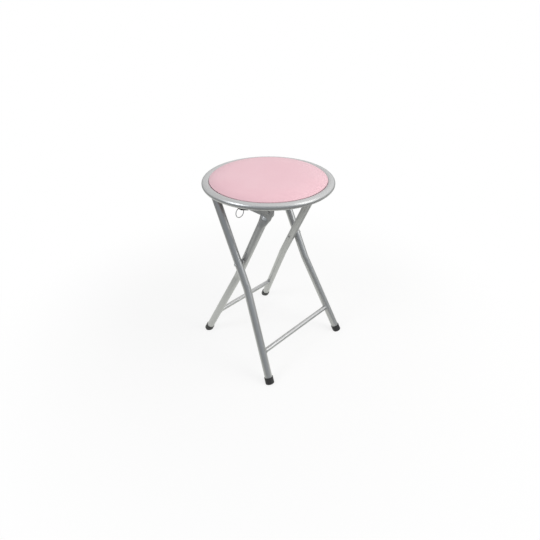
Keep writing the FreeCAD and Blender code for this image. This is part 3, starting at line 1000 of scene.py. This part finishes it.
def weldTree():
    tree = Tree("weldBead", {
        "Radius": "Float", "Pitch": "Float", "Steps": "Float", "Ripple": "Float", "Sides": "Int",
        "Finish": "Material"})
    step = tree.maths("DIVIDE", tree.wire("Pitch"), tree.wire("Steps"))
    line = tree.node("GeometryNodeResampleCurve", {"mode": "LENGTH"},
                     {"Curve": tree.wire("Geometry"), "Length": step})
    place = tree.node("GeometryNodeSplineParameter", out=1)
    wave = tree.maths("PINGPONG", tree.maths("DIVIDE", place, tree.wire("Pitch")), 0.5)
    share = tree.maths("SUBTRACT", 1.0, tree.maths("MULTIPLY", wave, tree.wire("Ripple")))
    profile = tree.disc(tree.wire("Sides"), tree.wire("Radius"))
    bead = tree.node("GeometryNodeCurveToMesh", sockets={
        "Curve": line, "Profile Curve": profile, "Scale": share, "Fill Caps": True})
    tree.finish(tree.node("GeometryNodeSetShadeSmooth", sockets={"Geometry": bead}))
    return tree


def weldBeads(tree, name, body, lines):
    spec = weldSpec
    curve = bpy.data.curves.new(name + "Line", "CURVE")
    curve.dimensions = "3D"
    for points, closed in lines:
        spline = curve.splines.new("POLY")
        spline.points.add(len(points) - 1)
        for target, point in zip(spline.points, points):
            target.co = (*point, 1.0)
        spline.use_cyclic_u = closed
    values = {"Radius": spec["radius"], "Pitch": spec["pitch"], "Steps": spec["stepsPerPitch"],
              "Ripple": spec["ripple"], "Sides": spec["sides"], "Finish": finishes["silver"]}
    beads = cleaned(tree.run(name, curve, values))
    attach(beads, body)
    return beads


weld = weldTree()
barHeights = {name: sum(corner.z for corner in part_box(name)) / 2
              for name in ("outer_crossbar", "inner_crossbar", "rest_bar")}
outerBars = ("outer_crossbar", "rest_bar")
outerLines = [saddle(side, "outer", barHeights[bar]) for bar in outerBars for side in sides]
innerLines = [saddle(side, "inner", barHeights["inner_crossbar"]) for side in sides]
railLines = [railWeld(x, y) for x in sides for y in sides]
for name, body, lines in (("outerWelds", "outer_frame", outerLines),
                          ("innerWelds", "inner_frame", innerLines),
                          ("railWelds", "seat", railLines)):
    beads = weldBeads(weld, name, body, lines)
    print(name + ":", len(beads.data.polygons), "faces")


# a coil along the catch's spring; how far the catch would press it is worked out, but the coil
# doesn't shorten
springSpec = {
    "wire": 0.0009,
    "turns": 6.0,
    "pointsPerTurn": 28,
    "sides": 10,
    "clear": 0.0002,       # left between the pressed coil and the catch
}


def springTree():
    tree = Tree("returnSpring", {
        "Start": "Vector", "Length": "Float", "Radius": "Float", "Wire": "Float", "Turns": "Float",
        "Points": "Int", "Sides": "Int", "Finish": "Material"})
    coil = tree.node("GeometryNodeCurveSpiral", sockets={
        "Resolution": tree.wire("Points"), "Rotations": tree.wire("Turns"),
        "Start Radius": tree.wire("Radius"), "End Radius": tree.wire("Radius"),
        "Height": tree.wire("Length")})
    profile = tree.disc(tree.wire("Sides"), tree.maths("DIVIDE", tree.wire("Wire"), 2.0))
    wire = tree.node("GeometryNodeCurveToMesh", sockets={
        "Curve": coil, "Profile Curve": profile, "Fill Caps": True})
    laid = tree.node("GeometryNodeTransform", sockets={  # from Z to along X
        "Geometry": wire, "Rotation": (0.0, math.pi / 2, 0.0), "Translation": tree.wire("Start")})
    tree.finish(laid)
    return tree


def returnSpring():
    spec = springSpec
    low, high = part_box("catch_spring")
    middle = (low + high) / 2
    length = high.x - low.x
    wire = spec["wire"]
    values = {"Start": (low.x + wire / 2, middle.y, middle.z), "Length": length - wire,
              "Radius": (high.z - low.z - wire) / 2, "Wire": wire, "Turns": spec["turns"],
              "Points": spec["pointsPerTurn"], "Sides": spec["sides"], "Finish": finishes["zinc"]}
    start = bpy.data.meshes.new("returnSpringStart")
    spring = cleaned(springTree().run("returnSpring", start, values))
    joints = frame["record"]["behaviour"]["joints"]
    slide = next(joint for joint in joints if joint["name"] == "catch_slide")
    pressed = (length - slide["range_m"][1] - spec["clear"]) / length
    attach(spring, "seat")
    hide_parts("catch_spring")
    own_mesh(spring)
    return spring


spring = returnSpring()
print("spring:", len(spring.data.polygons), "faces")


# a white sweep below, behind and above; the room on the camera's side is darker
stageSpec = {
    "floorHalf": 40.0,
    "floorDrop": 0.0002,
    "floorWhite": (0.98, 0.98, 0.98),   # as the camera sees it
    "floorBounce": (0.60, 0.60, 0.59),  # as it lights the stool
    "floorMirror": (0.34, 0.35, 0.35),  # as the metal mirrors it, where it isn't white
    "nearWhite": 0.80,     # share of plain white over the stool's shadow
    "clearFrom": 0.35,     # what is left of the shadow fades between these distances
    "clearTo": 0.85,
    "sweepWarm": (0.985, 1.0, 0.945),
    "sweepFrom": -0.32,    # beside the stool the mirrored floor turns white between these
    "sweepTo": -0.14,
    "besideFrom": 0.50,    # out to these distances
    "besideTo": 0.85,
    "right": (0.71, 0.70, 0.0),         # the camera's right
    "rightFrom": 0.09,     # it is less white on that side
    "rightTo": 0.34,
    "rightShade": 0.88,
    "behindFrom": -0.05,   # farther off it is white only behind the stool
    "behindTo": 0.40,
    "horizon": 0.30,       # share of the white that is left at the horizon
    "horizonFloor": (0.45, 1.1),        # it falls to that between these distances
    "horizonTop": 0.20,    # and rises again up to this height of the sky
    "back": (-0.70, 0.71, 0.0),         # away from the camera
    "roomColour": (0.35, 0.392, 0.428),  # as the metal mirrors it
    "roomFrom": -0.15,     # the room turns white between these, towards the back and overhead
    "roomTo": 0.55,
    "overhead": 0.8,
    "glowWay": (0.50, 0.60, 0.62),      # the mirrored room is lighter this way
    "glowFrom": 0.2,
    "glowTo": 0.8,
    "glow": 0.28,
    "worldLevel": 0.42,
}


plainWhite = (1.0, 1.0, 1.0, 1.0)


def rayKinds(net):  # camera, and glossy or transmission
    camera, glossy, through = (net.node("ShaderNodeLightPath", out=k) for k in (0, 3, 6))
    return camera, net.larger(glossy, through)


def towards(net, vector, way):
    settings = {"operation": "DOT_PRODUCT"}
    return net.node("ShaderNodeVectorMath", settings, {0: vector, 1: way}, out=1)


def floorFinish():
    spec = stageSpec
    material, net = newFinish("paleFloor")
    place = net.place()
    camera, mirrored = rayKinds(net)
    far = net.node("ShaderNodeVectorMath", {"operation": "LENGTH"}, {0: place}, out=1)
    fade = net.step(far, spec["clearFrom"], spec["clearTo"])
    back = towards(net, place, spec["back"])
    beside = net.step(back, spec["sweepFrom"], spec["sweepTo"])
    beside = beside * (1.0 - net.step(far, spec["besideFrom"], spec["besideTo"]))
    right = net.step(towards(net, place, spec["right"]), spec["rightFrom"], spec["rightTo"])
    beside = beside * (1.0 - right * spec["rightShade"])
    haze = net.step(far, *spec["horizonFloor"]) * (1.0 - spec["horizon"])
    behind = net.step(back, spec["behindFrom"], spec["behindTo"]) * (1.0 - haze)
    shown = spec["nearWhite"] + fade * (1.0 - spec["nearWhite"])
    share = camera * shown + mirrored * net.larger(beside, behind)
    colour = net.mixed(camera, rgba(spec["floorBounce"]), rgba(spec["floorWhite"]))
    colour = net.mixed(mirrored, colour, rgba(spec["floorMirror"]))
    glow = net.mixed(camera, rgba(spec["sweepWarm"]), plainWhite)
    plain = net.node("ShaderNodeBsdfDiffuse", sockets={"Color": colour})
    white = net.node("ShaderNodeEmission", sockets={"Color": glow, "Strength": 1.0})
    both = net.node("ShaderNodeMixShader", sockets={0: share, 1: plain, 2: white})
    net.node("ShaderNodeOutputMaterial", sockets={"Surface": both})
    return material


def makeFloor():
    spec = stageSpec
    half = spec["floorHalf"]
    mesh = bpy.data.meshes.new("floor")
    corners = [(-half, -half, 0), (half, -half, 0), (half, half, 0), (-half, half, 0)]
    mesh.from_pydata(corners, [], [(0, 1, 2, 3)])
    mesh.materials.append(floorFinish())
    floor = bpy.data.objects.new("floor", mesh)
    scene.collection.objects.link(floor)
    floor.location.z = -spec["floorDrop"]


def makeRoom():
    spec = stageSpec
    world = bpy.data.worlds.new("studio")
    scene.world = world
    world.use_nodes = True
    net = Net(world.node_tree)
    camera, mirrored = rayKinds(net)
    way = net.node("ShaderNodeTexCoord")
    bright = towards(net, way, (*spec["back"][:2], spec["overhead"]))
    lit = net.step(bright, spec["roomFrom"], spec["roomTo"])
    haze = net.step(net.axis(way, 2), 0.0, spec["horizonTop"])
    lit = lit * (spec["horizon"] + haze * (1.0 - spec["horizon"]))
    room = net.mixed(lit, rgba(spec["roomColour"]), plainWhite)
    colour = net.mixed(mirrored, plainWhite, room)
    shown = net.larger(camera, mirrored)
    level = spec["worldLevel"] + shown * (1.0 - spec["worldLevel"])
    glow = net.step(towards(net, way, spec["glowWay"]), spec["glowFrom"], spec["glowTo"])
    level = level + mirrored * glow * spec["glow"]
    sky = net.node("ShaderNodeBackground", sockets={"Color": colour, "Strength": level})
    net.node("ShaderNodeOutputWorld", sockets={"Surface": sky})


# a softbox on each side of the camera, and on its right a large fill that the metal doesn't mirror
lampAim = (0.0, 0.0, 0.3)
lampSpec = {
    "rightBox": {
        "turn": 24, "rise": 35, "away": 2.2, "size": (0.9, 1.9), "power": 12.5,
        "colour": (1.0, 0.985, 0.96), "mirrored": True,
    },
    "leftBox": {
        "turn": -104, "rise": 38, "away": 2.2, "size": (0.8, 1.0), "power": 13.0,
        "colour": (0.95, 0.975, 1.0), "mirrored": True,
    },
    "rightFill": {
        "turn": 42, "rise": 52, "away": 1.8, "size": (1.6, 1.6), "power": 11.4,
        "colour": (1.0, 0.985, 0.97), "mirrored": False,
    },
}


def facing(way):  # turns a lamp or camera to look along way
    return way.to_track_quat("-Z", "Y").to_euler()


def makeLamps():
    for name, spec in lampSpec.items():
        light = bpy.data.lights.new(name, "AREA")
        light.shape = "RECTANGLE"
        light.size, light.size_y = spec["size"]
        light.energy = spec["power"]
        light.color = spec["colour"]
        lamp = bpy.data.objects.new(name, light)
        lamp.visible_glossy = spec["mirrored"]
        scene.collection.objects.link(lamp)
        turn = math.radians(spec["turn"])
        rise = math.radians(spec["rise"])
        flat = math.cos(rise)
        way = Vector((math.cos(turn) * flat, math.sin(turn) * flat, math.sin(rise)))
        lamp.location = Vector(lampAim) + way * spec["away"]
        lamp.rotation_euler = facing(-way)


cameraSpec = {
    "at": (0.6210, -0.6305, 0.7991),
    "aim": (0.3276, -0.3302, 0.5177),
    "lens": 27.414,
    "sensor": 36.0,
}


def makeCamera():
    spec = cameraSpec
    data = bpy.data.cameras.new("photoView")
    data.lens = spec["lens"]
    data.sensor_width = spec["sensor"]
    data.sensor_fit = "HORIZONTAL"
    camera = bpy.data.objects.new("photoView", data)
    scene.collection.objects.link(camera)
    camera.location = spec["at"]
    camera.rotation_euler = facing(Vector(spec["aim"]) - camera.location)
    scene.camera = camera


makeFloor()
makeRoom()
makeLamps()
makeCamera()
scene.view_settings.view_transform = "Standard"
print("stage, lamps and camera set")
